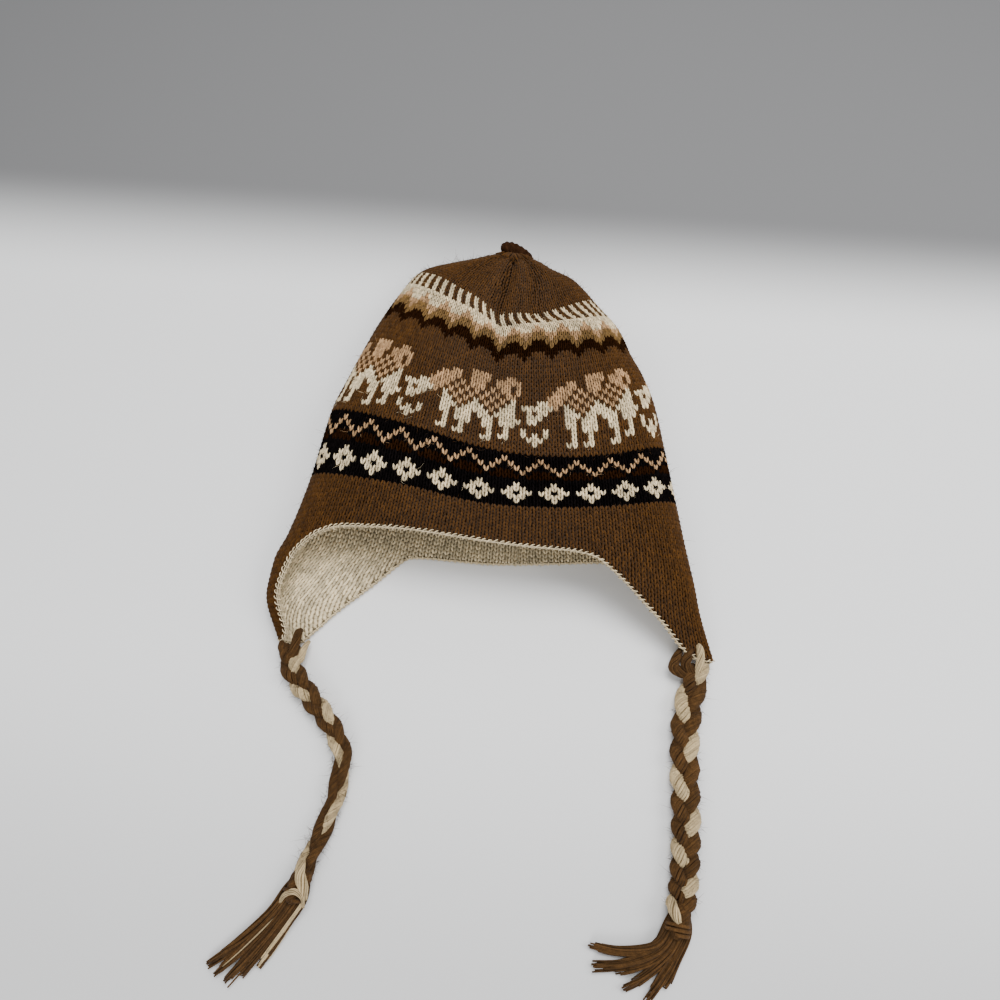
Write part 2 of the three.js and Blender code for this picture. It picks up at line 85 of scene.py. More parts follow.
# Lower edge of the knit: share of the girth from the back middle, and share of the rows
EDGE = (
    (0.000, 1.000), (0.140, 0.982), (0.166, 1.000), (0.192, 1.045), (0.212, 1.110),
    (0.223, 1.180), (0.231, 1.250), (0.241, 1.272), (0.254, 1.276), (0.268, 1.270),
    (0.284, 1.245), (0.305, 1.175), (0.332, 1.110), (0.358, 1.048), (0.384, 1.010),
    (0.412, 1.000), (0.660, 1.000), (0.688, 1.012), (0.711, 1.050), (0.732, 1.120),
    (0.754, 1.195), (0.774, 1.248), (0.793, 1.270), (0.811, 1.276), (0.833, 1.268),
    (0.850, 1.228), (0.868, 1.160), (0.890, 1.070), (0.912, 1.005), (0.940, 1.000),
    (0.965, 1.000), (1.000, 1.000),
)

# Dents and swells: middle around, middle down, half extents, rise as a share of the puff height
FOLDS = (
    (0.505, 0.21, 0.022, 0.12, -0.070), (0.415, 0.22, 0.020, 0.11, -0.035),
    (0.600, 0.24, 0.030, 0.12, -0.025), (0.520, 0.80, 0.050, 0.16, -0.040),
    (0.585, 0.84, 0.040, 0.15, 0.035), (0.410, 0.80, 0.050, 0.20, 0.025),
)
# Finer ones that only the outer knit shows
FINE_FOLDS = (
    (0.500, 0.160, 0.019, 0.085, -0.035), (0.502, 0.036, 0.034, 0.014, -0.040),
    (0.400, 0.160, 0.024, 0.070, -0.022), (0.440, 0.170, 0.014, 0.070, 0.012),
    (0.590, 0.160, 0.026, 0.070, -0.014),
)
GATHERS = {"count": 11, "rise": 0.017, "to_down": 0.17}
SLIP = {"around": 0.82, "wide": 0.13, "from_down": 0.98, "to_down": 1.28, "most": 0.058}
CROWN_NORMAL = np.array([0.0, 0.83, 0.56])
UP = np.array([0.0, 0.0, 1.0])

# Middles of the braids, then the tassels' necks and the tips of their locks
LEFT_ROUTE = (
    (-102.4, -172.9), (-102.0, -180.0), (-98.2, -187.5), (-91.0, -195.5), (-82.5, -203.5),
    (-74.5, -211.0), (-68.0, -219.0), (-63.5, -227.0), (-62.0, -235.5), (-62.2, -244.0),
    (-63.2, -253.0), (-65.0, -262.0), (-67.6, -270.5), (-70.2, -279.0), (-72.2, -287.5),
)
RIGHT_ROUTE = (
    (127.8, -161.8), (127.2, -168.5), (124.6, -177.5), (122.4, -188.0), (121.2, -199.0),
    (120.9, -209.0), (120.8, -219.0), (121.0, -229.0), (121.2, -239.0), (121.1, -249.0),
    (120.8, -258.0), (120.3, -267.0), (119.5, -276.0), (118.2, -284.0),
)
LEFT_NECK = (-77.0, -302.5)
RIGHT_NECK = (114.6, -300.0)
LEFT_TIPS = ((-111.5, -331.0), (-107.0, -334.5), (-101.0, -337.5), (-94.0, -334.0), (-86.0, -329.5))
RIGHT_TIPS = ((73.5, -304.5), (75.5, -313.5), (86.0, -314.5), (90.5, -321.5), (101.5, -325.5),
              (110.5, -319.0))

# Width of each braid by share of its route, and how far along it the light hank lies on top
LEFT_WIDTHS = ((0, LEFT_BRAID_WIDTH), (0.25, 13.0), (0.55, 11.0), (1, 10.0))
RIGHT_WIDTHS = ((0, 15.5), (0.2, RIGHT_BRAID_WIDTH), (1, 15.5))
LEFT_CROSSINGS = (29, 47, 66, 99, 131)
RIGHT_CROSSINGS = (3, 27, 47, 67, 85, 100, 114, 125)

# How each hank comes off its ear flap, the light one first
LEFT_ROOTS = (
    ((-93.2, -169.0, 5.0), (-94.4, -173.5, 7.5), (-95.8, -180.0, 6.5)),
    ((-99.4, -162.6, 4.5), (-99.5, -165.5, 8.0), (-99.8, -171.5, 8.5), (-100.3, -178.5, 7.5)),
    ((-108.0, -171.0, 8.0), (-106.8, -175.2, 8.0), (-101.8, -181.6, 6.5)),
)
RIGHT_ROOTS = (
    ((127.6, -150.9, 10.5), (128.0, -153.5, 12.5), (128.6, -158.4, 11.5)),
    ((118.2, -154.0, 9.5), (115.9, -159.1, 9.5), (114.6, -165.0, 7.5)),
    ((123.0, -152.0, 11.0), (122.0, -157.0, 11.5), (121.0, -163.0, 9.0)),
)

# Light hanks on the tassels' heads: a line and a radius each
LEFT_MARKS = (
    (((-72.3, -281.0, 8.0), (-72.4, -287.0, 10.5), (-69.8, -292.1, 11.5), (-68.0, -298.2, 8.5)), 2.9),
    (((-81.6, -302.7, 3.5), (-79.0, -297.6, 8.5), (-73.7, -294.9, 11.8), (-69.4, -296.9, 10.5),
      (-68.6, -301.9, 6.0)), 1.5),
)
RIGHT_MARKS = ((((112.9, -279.5, 8.0), (113.6, -285.0, 10.5), (116.3, -290.6, 11.5)), 2.8),)

# Stitches
WALES = 138             # round the brim
ROWS = 79               # from the crown to the brim
CROWN_WALES = ((4, 26), (8, 52), (13, 72), (17, 88), (24, 104))   # end row and wales of each step
FLAP_ROWS = 22
LINING_FROM_ROW = 56    # its stitches start here
SEAM_AROUND = 0.0335    # the lining's seam, right of the middle of the back
LEG_DEPTH = 0.9         # middle of a stitch leg below the knit's face
LEG_HALF_HEIGHT = 0.85
LEG_WIDTH = 0.195       # half of a leg's width as a share of its wale
LINING_LEG_WIDTH = 0.215
GROUND_DEPTH = 1.45     # top of the shell under the legs
LINING_GROUND_DEPTH = 1.15    # the same in the lining
LINING_SINK = 3.5       # how much deeper the lining lies under the crown
EVEN_ROWS = ROWS - 6    # from here on the shells' rows follow the edge

# Loose yarn
EDGE_LOOPS = 190
EDGE_RADIUS = 0.30
EDGE_LINE_RADIUS = 0.36
HANK_YARNS = 12
LOCK_STRANDS = 26
STRAND_RADIUS = 0.56
KNIT_HAIRS = 7000
BRAID_HAIRS = 700
HAIR_RADIUS = 0.09
LONGEST_HAIR = 7.0
LOWEST_HAIR = 0.1       # above the floor
# A hank's core is darker than its yarns: painted shade that shows between them.
BROWN, CREAM, SHADED_CORE = 0, 1, 2    # slots of hank_yarns, and what a hank's core adds to its slot

random = np.random.default_rng(11)


# Charts. b brown, c cream, t tan, k khaki, d dark brown, n black.
ZIGZAG = (
    "cccccc",
    "ccctcc",
    "cctttc",
    "ttkkkt",
    "tkkkkk",
    "kkdddk",
    "kddddd",
    "dddddd",
    "ddbbbd",
    "dbbbbb",
)
LLAMA = (
    ".............tttt...tt.",
    ".........tt..tttt.ttttt",
    ".......tttt..ttt..ttt.t",
    "......tttt.t.ttt.t.tt.t",
    ".....tttt.t.t.t.t.t.tt.",
    "...ccttt.t.t.t.t.t.t.c.",
    "cccccct.c.t.t.c.t.t.cc.",
    ".c.cc...cc.t.ccc.t.ccc.",
    ".ccc....ccc.ccccc.cccc.",
    ".cc.....cc.ccc.ccc.cccc",
    "........cc.ccc..cc.ccc.",
    "c...c....c.ccc..cc..c..",
    "c.c.c....c..c....c..c..",
    ".ccc.....c..c....c.cc..",
    "..c.....cc.cc...cc.....",
)
UPPER_MOTIF = ("t.....", ".t...t", "..t.t.", "dd.t.d", "ddd.dd")
LOWER_MOTIF = ("..c...", ".ccc..", "cc.cc.", ".ccc..", "..c...")
TEETH_ROWS = range(20, 24)
TEETH_SHIFT = 1
ZIGZAG_FROM = 24
ZIGZAG_SHIFT = 3
LLAMA_FROM = 38
LLAMA_SHIFT = 86
BAND_ROWS = range(55, 68)
UPPER_FROM = 56
LOWER_FROM = 62

COLOURS = {
    "b": (0.061, 0.0242, 0.0034),
    "c": (0.67, 0.545, 0.345),
    "t": (0.405, 0.243, 0.120),
    "k": (0.165, 0.092, 0.028),
    "d": (0.016, 0.006, 0.002),
    "n": (0.004, 0.003, 0.003),
}
LETTERS = "bctkdn"


def wales_in(row):
    """The crown is gathered, so its first rows have fewer wales."""
    for end, count in CROWN_WALES:
        if row < end:
            return count
    return WALES


def row_slip(around, row):
    """How many rows lower the zigzag rows lie over the two shoulders."""
    left = 2.2 * np.exp(-((around - 0.64) / 0.08) ** 2)
    right = 1.5 * np.exp(-((around - 0.36) / 0.07) ** 2)
    return (left + right) * np.exp(-((row - 28) / 5.5) ** 2)


def chart():
    """The colour of every stitch of every row, as indices into LETTERS."""
    cells = [np.full(wales_in(row), LETTERS.index("b")) for row in range(ROWS + FLAP_ROWS)]

    def draw(rows, first_row, shift=0):
        for i, text in enumerate(rows):
            row = cells[first_row + i]
            # The wales run leftward over the front.
            letters = np.array(list(text))[(shift - np.arange(len(row))) % len(text)]
            for letter in set(text) - {"."}:
                row[letters == letter] = LETTERS.index(letter)

    for row in TEETH_ROWS:
        draw(("c.",), row, TEETH_SHIFT)
    draw(ZIGZAG, ZIGZAG_FROM, ZIGZAG_SHIFT)
    draw(LLAMA, LLAMA_FROM, LLAMA_SHIFT)
    for row in BAND_ROWS:
        draw(("n",), row)
    draw(UPPER_MOTIF, UPPER_FROM)
    draw(LOWER_MOTIF, LOWER_FROM)
    return cells


def colour_at(cells, around, row):
    """Colours of the stitches at these places around, each in its own row."""
    made = np.zeros(len(around), int)
    row = np.clip(row, 0, len(cells) - 1)
    for one in np.unique(row):
        here = row == one
        made[here] = cells[one][(around[here] % 1 * len(cells[one])).astype(int)]
    return made


def unit(vectors):
    return vectors / np.maximum(np.linalg.norm(vectors, axis=-1, keepdims=True), 1e-9)


def column_curve(x, y):
    """Monotone cubic through a table's column, flat past its ends."""
    x, y = np.array(x, float), np.array(y, float)
    slope = np.diff(y) / np.diff(x)
    lean = np.concatenate([slope[:1], np.zeros(len(x) - 2), slope[-1:]])
    steady = slope[:-1] * slope[1:] > 0
    both = np.where(steady, slope[:-1] + slope[1:], 1.0)
    lean[1:-1] = np.where(steady, 2 * slope[:-1] * slope[1:] / both, 0.0)

    def at(place):
        held = np.clip(place, x[0], x[-1])
        i = np.clip(np.searchsorted(x, held, side="right") - 1, 0, len(x) - 2)
        span = x[i + 1] - x[i]
        t = (held - x[i]) / span
        away = (1 - t) ** 2
        return (y[i] * (1 + 2 * t) * away + lean[i] * span * t * away
                + y[i + 1] * t * t * (3 - 2 * t) - lean[i + 1] * span * t * t * (1 - t))

    return at


edge_down = column_curve(*zip(*EDGE))
station = {name: column_curve([row[0] for row in STATIONS], [row[i] for row in STATIONS])
           for i, name in enumerate(STATION_COLUMNS)}


def section_points(down, around):
    """Points of the knit's face at one place down the hat."""
    samples = 120
    left, right = (station[name](down) * HAT_WIDTH / 2 for name in ("left_x", "right_x"))
    half = max((right - left) / 2, 0.01)
    under = station["under"](down) * FOLD_HEIGHT
    fold = max(station["fold"](down) * FOLD_HEIGHT, under)
    top = max(station["top"](down) * PUFF_HEIGHT, fold)

    radius = min(fold - under, half * 0.9)
    flat = half - radius
    along = np.arange(samples) / samples * (flat + radius * math.pi / 2)
    turn = np.maximum(along - flat, 0) / max(radius, 0.01)
    low_share = np.where(along <= flat, along, flat + radius * np.sin(turn)) / half
    low_height = under + (fold - under) * (1 - np.cos(turn))
    angle = np.arange(samples, -1, -1) / samples * math.pi / 2
    share = np.concatenate([low_share, np.sin(angle) ** 0.92])
    height = np.concatenate([low_height, fold + (top - fold) * np.cos(angle)])

    steps = np.hypot(np.diff(share) * half, np.diff(height))
    reach = np.concatenate([[0], np.cumsum(steps)])
    wrapped = around % 1
    side = np.where(wrapped <= 0.5, 1, -1)
    wanted = np.where(wrapped <= 0.5, wrapped, 1 - wrapped) * 2 * reach[-1]
    share_at = np.interp(wanted, reach, share)
    side_y = np.where(side > 0, station["right_y"](down), station["left_y"](down))
    front = wanted > reach[samples]
    middle_y = np.where(front, station["front_y"](down), station["back_y"](down))
    lean = np.where(side > 0, station["right_lean"](down), station["left_lean"](down))
    lean = np.where(front, lean * np.sin(math.pi * share_at), 0)
    return np.stack([
        (left + right) / 2 + side * share_at * half,
        (middle_y + (side_y - middle_y) * share_at ** 1.9 + lean) * HAT_LENGTH,
        np.interp(wanted, reach, height),
    ], axis=-1)


def slip_at(around, down):
    """How far around the left flap has slipped."""
    across = np.clip(np.abs(around - SLIP["around"]) / SLIP["wide"], 0, 1)
    t = np.clip((down - SLIP["from_down"]) / (SLIP["to_down"] - SLIP["from_down"]), 0, 1)
    return SLIP["most"] * t * t * (3 - 2 * t) * np.cos(across * math.pi / 2) ** 2


def fold_rise(around, down, folds):
    """Height that the dents, swells and crown gathers add."""
    rise = np.zeros_like(around)
    for middle, middle_down, wide, long, share in folds:
        spread = ((around - middle) / wide) ** 2 + ((down - middle_down) / long) ** 2
        rise += share * PUFF_HEIGHT * np.exp(-spread)
    front = (0.5 - 0.5 * np.cos(2 * math.pi * around)) ** 2
    fade = math.sin(math.pi * min(down / GATHERS["to_down"], 1))
    waves = np.cos(2 * math.pi * GATHERS["count"] * around)
    return rise + GATHERS["rise"] * PUFF_HEIGHT * front * fade * waves


class Surface:
    """The knit's face as a lattice of points and normals, read at any place around and down it."""

    PER_WALE = 6
    PER_ROW = 3
    FLAPS_TO = 1.31     # how far down it goes, as a share of the rows
    TIP_ROWS = 3    # these share the crown's normal

    def __init__(self, folds):
        self.across = WALES * self.PER_WALE
        self.rows = int(self.FLAPS_TO * ROWS * self.PER_ROW)
        around = np.arange(self.across) / self.across
        points = []
        for i in range(self.rows):
            down = i / (ROWS * self.PER_ROW)
            ring = section_points(down, around - slip_at(around, down))
            ring[:, 2] += fold_rise(around, down, folds)
            points.append(ring)
        self.points = np.array(points)
        across = (np.roll(self.points, -1, 1) - np.roll(self.points, 1, 1)) / 2
        along = np.gradient(self.points, axis=0)
        self.normals = unit(np.cross(across, along))
        self.normals[:self.TIP_ROWS] = CROWN_NORMAL
        self.pitch = np.linalg.norm(across, axis=-1)[..., None] * self.PER_WALE

    def read(self, lattice, around, down):
        x = (around % 1) * self.across
        y = np.clip(down * ROWS * self.PER_ROW, 0, self.rows - 1.001)
        i, j = np.floor(x).astype(int), np.floor(y).astype(int)
        u, v = (x - i)[..., None], (y - j)[..., None]
        i, k = i % self.across, (i + 1) % self.across
        upper = lattice[j, i] * (1 - u) + lattice[j, k] * u
        lower = lattice[j + 1, i] * (1 - u) + lattice[j + 1, k] * u
        return upper * (1 - v) + lower * v

    def normal(self, around, down):
        return unit(self.read(self.normals, around, down))

    def at(self, around, down, depth=0.0):
        return (self.read(self.points, around, down)
                - self.normal(around, down) * np.asarray(depth)[..., None])

    def wale(self, around, down):
        """Width of a wale there."""
        return self.read(self.pitch, around, down)[..., 0]


knit = Surface(FOLDS + FINE_FOLDS)
smooth = Surface(FOLDS)     # for the lining


# Lines
def smooth_line(points, per_span):
    """Catmull-Rom through chosen points."""
    points = np.array(points, float)
    ends = np.concatenate([2 * points[:1] - points[1:2], points, 2 * points[-1:] - points[-2:-1]])
    t = np.arange(per_span)[:, None] / per_span
    made = []
    for a, b, c, d in zip(ends, ends[1:], ends[2:], ends[3:]):
        made.append(0.5 * (2 * b + (c - a) * t + (2 * a - 5 * b + 4 * c - d) * t ** 2
                           + (3 * b - a - 3 * c + d) * t ** 3))
    return np.concatenate(made + [points[-1:]])


def length_along(line):
    """Length from the line's start to each of its points."""
    return np.concatenate([[0], np.cumsum(np.linalg.norm(np.diff(line, axis=0), axis=1))])


def evenly(line, count):
    """The same line through count points at even steps."""
    reach = length_along(line)
    at = np.linspace(0, reach[-1], count)
    return np.stack([np.interp(at, reach, line[:, axis]) for axis in range(line.shape[1])], -1)


def ring_quads(m, sides, closed=False):
    """Faces between m rings of points, with the ring and the column where each starts."""
    i, k = np.meshgrid(np.arange(m if closed else m - 1), np.arange(sides), indexing="ij")
    after, beside = (i + 1) % m, (k + 1) % sides
    quads = np.stack([i * sides + k, i * sides + beside, after * sides + beside, after * sides + k], -1)
    return quads.reshape(-1, 4), i, k


def end_fans(m, sides):
    """Triangles that close both ends of m rings, to the two points that follow them."""
    k = np.arange(sides)
    beside = (k + 1) % sides
    last = (m - 1) * sides
    return np.concatenate([
        np.stack([np.full(sides, m * sides), beside, k], -1),
        np.stack([np.full(sides, m * sides + 1), last + k, last + beside], -1)])


class Piece:
    """Faces of one piece, gathered before its mesh is made."""

    def __init__(self):
        self.points, self.quads, self.triangles = [], [], []
        self.quad_slots, self.triangle_slots, self.shades = [], [], []
        self.quad_uv, self.triangle_uv = [], []
        self.count = 0

    def add(self, points, quads, triangles, quad_slots, triangle_slots, shades, quad_uv, triangle_uv):
        self.quads.append(np.asarray(quads).reshape(-1, 4) + self.count)
        self.triangles.append(np.asarray(triangles).reshape(-1, 3) + self.count)
        self.points.append(points.reshape(-1, 3))
        self.quad_slots.append(np.broadcast_to(quad_slots, len(self.quads[-1])))
        self.triangle_slots.append(np.broadcast_to(triangle_slots, len(self.triangles[-1])))
        self.shades.append(np.broadcast_to(shades, len(self.points[-1])))
        self.quad_uv.append(quad_uv.reshape(-1, 2))
        self.triangle_uv.append(triangle_uv.reshape(-1, 2))
        self.count += len(self.points[-1])

    def tubes(self, centres, radii, up, sides=5, slots=0, tips=None, closed=False, flat=1.0, start_v=0.0):
        """Closed round strands through (n, m) centres. up is roughly square to each strand."""
        n, m = centres.shape[:2]
        if closed:
            tangent = unit(np.roll(centres, -1, 1) - np.roll(centres, 1, 1))
        else:
            tangent = unit(np.gradient(centres, axis=1))
        side = unit(np.cross(np.broadcast_to(up, centres.shape), tangent))
        top = np.cross(tangent, side)
        angle = 2 * math.pi * np.arange(sides) / sides
        radii = np.broadcast_to(np.asarray(radii, float), (n, m))[..., None, None]
        flat = np.broadcast_to(np.asarray(flat, float), (n, m))[..., None, None]
        rings = (centres[:, :, None] + radii * np.cos(angle)[:, None] * side[:, :, None]
                 + radii * flat * np.sin(angle)[:, None] * top[:, :, None])
        quads, i, k = ring_quads(m, sides, closed)
        reach = np.concatenate([np.zeros((n, 1)), np.cumsum(np.linalg.norm(
            np.diff(centres, axis=1), axis=-1), axis=1)], axis=1) + start_v
        if closed:
            reach = np.concatenate([reach, reach[:, -1:] + 1], axis=1)
        u = np.stack([k, k + 1, k + 1, k], -1).reshape(-1, 4) / sides
        v = reach[:, np.stack([i, i, i + 1, i + 1], -1).reshape(-1, 4)]
        quad_uv = np.stack([np.broadcast_to(u, v.shape), v], -1)
        points = rings.reshape(n, -1, 3)
        triangles = np.zeros((0, 3), int)
        triangle_uv = np.zeros((n, 0, 3, 2))
        if not closed:
            ends = tips if tips is not None else centres[:, [0, -1]]
            points = np.concatenate([points, ends], axis=1)
            triangles = end_fans(m, sides)
            triangle_uv = np.broadcast_to(np.array([0.5, 0.0]), (n, len(triangles), 3, 2))
        step = points.shape[1] * np.arange(n)[:, None, None]
        slots = np.broadcast_to(slots, n)
        shades = np.repeat(random.random(n), points.shape[1])
        self.add(points, quads[None] + step, triangles[None] + step,
                 np.repeat(slots, len(quads)), np.repeat(slots, len(triangles)), shades,
                 quad_uv, triangle_uv)


def make_piece(name, piece, materials, replaces=()):
    """Turns gathered faces into an object that rides on the hat."""
    quads, triangles = np.concatenate(piece.quads), np.concatenate(piece.triangles)
    mesh = bpy.data.meshes.new(name)
    points = np.concatenate(piece.points) * MM
    mesh.vertices.add(len(points))
    mesh.vertices.foreach_set("co", points.astype(np.float32).ravel())
    corners = np.concatenate([quads.ravel(), triangles.ravel()])
    mesh.loops.add(len(corners))
    mesh.loops.foreach_set("vertex_index", corners.astype(np.int32))
    starts = np.concatenate([np.arange(len(quads)) * 4, len(quads) * 4 + np.arange(len(triangles)) * 3])
    mesh.polygons.add(len(starts))
    mesh.polygons.foreach_set("loop_start", starts.astype(np.int32))
    slots = np.concatenate(piece.quad_slots + piece.triangle_slots)
    for material in materials:
        mesh.materials.append(material)
    mesh.update(calc_edges=True)
    mesh.polygons.foreach_set("material_index", slots.astype(np.int32))
    mesh.polygons.foreach_set("use_smooth", np.ones(len(starts), bool))
    shade = mesh.attributes.new("shade", "FLOAT", "POINT")
    shade.data.foreach_set("value", np.concatenate(piece.shades).astype(np.float32))
    uv = mesh.uv_layers.new(name="UVMap")
    uvs = np.concatenate(piece.quad_uv + piece.triangle_uv)
    uv.data.foreach_set("uv", uvs.astype(np.float32).ravel())
    mesh.validate()
    made = bpy.data.objects.new(name, mesh)
    bpy.context.scene.collection.objects.link(made)
    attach(made, "root")
    if replaces:
        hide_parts(*replaces)
    return made


# Materials
def set_inputs(node, values):
    for name, value in values.items():
        node.inputs[name].default_value = value


def yarn_material(name, colour, sheen=0.1, streaks=0.85, heather=0.6, bump=0.5):
    """Soft plied yarn: twisted fibre streaks, heathered colour and a fuzzy sheen."""
    material = bpy.data.materials.new(name)
    material.use_nodes = True
    nodes, links = material.node_tree.nodes, material.node_tree.links
    shader = nodes["Principled BSDF"]
    set_inputs(shader, {
        "Roughness": 0.92,
        "Specular IOR Level": 0.1 if sheen else 0.0,
        "Sheen Weight": sheen,
        "Sheen Roughness": 0.55,
        "Sheen Tint": (*[0.5 + 0.5 * channel for channel in colour], 1),
    })

    def noise(scale, detail, vector):
        node = nodes.new("ShaderNodeTexNoise")
        set_inputs(node, {"Scale": scale, "Detail": detail})
        links.new(vector, node.inputs["Vector"])
        return node.outputs["Fac"]

    def ramp(source, low, high, dark, light):
        node = nodes.new("ShaderNodeMapRange")
        set_inputs(node, {"From Min": low, "From Max": high, "To Min": dark, "To Max": light})
        links.new(source, node.inputs["Value"])
        return node.outputs["Result"]

    def times(a, b):
        node = nodes.new("ShaderNodeMath")
        node.operation = "MULTIPLY"
        links.new(a, node.inputs[0])
        links.new(b, node.inputs[1])
        return node.outputs["Value"]

    uv = nodes.new("ShaderNodeUVMap")
    uv.uv_map = "UVMap"
    twist = nodes.new("ShaderNodeMapping")
    set_inputs(twist, {"Rotation": (0, 0, math.radians(28)), "Scale": (7.0, 0.9, 1.0)})
    links.new(uv.outputs["UV"], twist.inputs["Vector"])
    fibres = noise(1.6, 4.0, twist.outputs["Vector"])
    place = nodes.new("ShaderNodeTexCoord").outputs["Object"]
    shade = nodes.new("ShaderNodeAttribute")
    shade.attribute_name = "shade"

    streak = ramp(fibres, 0.3, 0.7, 1 - streaks / 2, 1 + streaks / 3)
    grain = ramp(noise(420.0, 5.0, place), 0.3, 0.7, 1 - heather / 2, 1 + heather / 2)
    cloud = ramp(noise(28.0, 2.0, place), 0.3, 0.7, 0.93, 1.07)
    strand = ramp(shade.outputs["Fac"], 0.0, 1.0, 0.70, 1.24)
    strength = times(times(streak, grain), times(cloud, strand))
    tint = nodes.new("ShaderNodeVectorMath")
    tint.operation = "SCALE"
    tint.inputs[0].default_value = colour
    links.new(strength, tint.inputs["Scale"])
    links.new(tint.outputs["Vector"], shader.inputs["Base Color"])

    relief = nodes.new("ShaderNodeBump")
    set_inputs(relief, {"Strength": bump, "Distance": 0.0003})
    links.new(fibres, relief.inputs["Height"])
    links.new(relief.outputs["Normal"], shader.inputs["Normal"])
    return material


def darker(colour, share):
    return tuple(share * channel for channel in colour)


YARN_NAMES = ("brown", "cream", "tan", "khaki", "dark_brown", "black")
knit_yarns = [yarn_material("yarn_" + name, COLOURS[letter], sheen=0.0 if letter in "dn" else 0.1)
              for letter, name in zip(LETTERS, YARN_NAMES)]
# Ground colours are the yarns darkened: painted shade in the gaps between the stitches
shaded_ground_yarns = [yarn_material("ground_" + name, darker(COLOURS[letter], 0.17), sheen=0.0)
                for letter, name in zip(LETTERS, YARN_NAMES)]
lining_yarn = yarn_material("yarn_lining", (0.66, 0.55, 0.355), streaks=0.45, heather=0.35)
# The lining's ground is darkened cream: painted shade between its stitches
shaded_lining_ground_yarn = yarn_material("shaded_ground_lining", darker(COLOURS["c"], 0.31), sheen=0.0)
edge_yarn = yarn_material("yarn_edge", darker(COLOURS["c"], 0.8), streaks=0.35)
knot_yarn = yarn_material("yarn_knot", (0.030, 0.013, 0.006), sheen=0.0, heather=0.8, bump=0.8)
hank_yarns = [
    yarn_material("hank_brown", (0.063, 0.030, 0.009), sheen=0.05, streaks=0.9, heather=0.6),
    yarn_material("hank_cream", (0.43, 0.325, 0.18), streaks=0.6, heather=0.35),
    # Cores darker than their yarns: painted shade that shows between the twisted yarns
    yarn_material("hank_brown_shaded_core", (0.020, 0.008, 0.002), sheen=0.0),
    yarn_material("hank_cream_shaded_core", (0.20, 0.14, 0.07), sheen=0.0),
]


# Shells of knit under the stitches, darker in colour as painted shade in the gaps between them
def cap_shell(surface, outer_depth, inner_depth, even_rows, edge_rows, wales, cells=None, sink=0.0):
    """A closed cap between two depths. Rows are even down to the brim, then follow its edge.

    sink: how much deeper it lies under the crown."""
    piece = Piece()
    columns = np.arange(wales) / wales
    last = even_rows[-1] / ROWS
    rows = [np.full(wales, row / ROWS) for row in even_rows]
    for i in range(1, edge_rows + 1):
        rows.append(last + (edge_down(columns) - last) * i / edge_rows)
    downs = np.array(rows)
    count = len(downs)
    points, quads, triangles, slots, tip_slots = [], [], [], [], []
    column = np.arange(wales)
    beside = (column + 1) % wales
    for inside, depth in enumerate((outer_depth, inner_depth)):
        base = inside * (count * wales + 1)
        pole = base + count * wales
        around = np.broadcast_to(columns, downs.shape)
        t = np.clip((0.34 - downs) / 0.12, 0, 1)
        sunk = depth + sink * t * t * (3 - 2 * t)
        points.append(surface.at(around, downs, sunk).reshape(-1, 3))
        points.append(surface.at(np.zeros(1), np.zeros(1)) - CROWN_NORMAL * (depth + sink))
        ring = np.stack([np.full(wales, pole), base + column, base + beside], -1)
        triangles.append(ring if inside else ring[:, [0, 2, 1]])
        tip_slots.append(np.zeros(wales, int))
        for i in range(count - 1):
            a, b = base + i * wales, base + (i + 1) * wales
            quad = np.stack([a + column, b + column, b + beside, a + beside], -1)
            quads.append(quad if inside else quad[:, ::-1])
            row = int(round(downs[i].min() * ROWS))
            coloured = cells is not None and row < EVEN_ROWS - 1
            rows_there = np.round(row - row_slip(columns, row)).astype(int)
            slots.append(colour_at(cells, columns + 0.5 / wales, rows_there) if coloured
                         else np.zeros(wales, int))
    outer_rim = (count - 1) * wales
    inner_rim = outer_rim + count * wales + 1
    quads.append(np.stack([outer_rim + column, outer_rim + beside, inner_rim + beside,
                           inner_rim + column], -1)[:, ::-1])
    slots.append(np.zeros(wales, int))
    points = np.concatenate(points)
    quads, triangles = np.concatenate(quads), np.concatenate(triangles)
    flat = points[:, :2] / 4
    # The fixed shade of 0.35 darkens the ground a little more, as painted shade
    piece.add(points, quads, triangles, np.concatenate(slots), np.concatenate(tip_slots),
              np.full(len(points), 0.35), flat[quads], flat[triangles])
    return piece


# Stitches
def stitch_places(rows):
    """Around, down, wale pitch and row of every stitch in these rows that lies on the knit."""
    places = []
    for row in rows:
        count = wales_in(row)
        around = (np.arange(count) + 0.5) / count
        down = (row + 0.5 + row_slip(around, row)) / ROWS
        on = down < edge_down(around) + 0.3 / ROWS
        places.append(np.stack([around, down, np.full(count, 1 / count), np.full(count, row)], -1)[on])
    return np.concatenate(places)


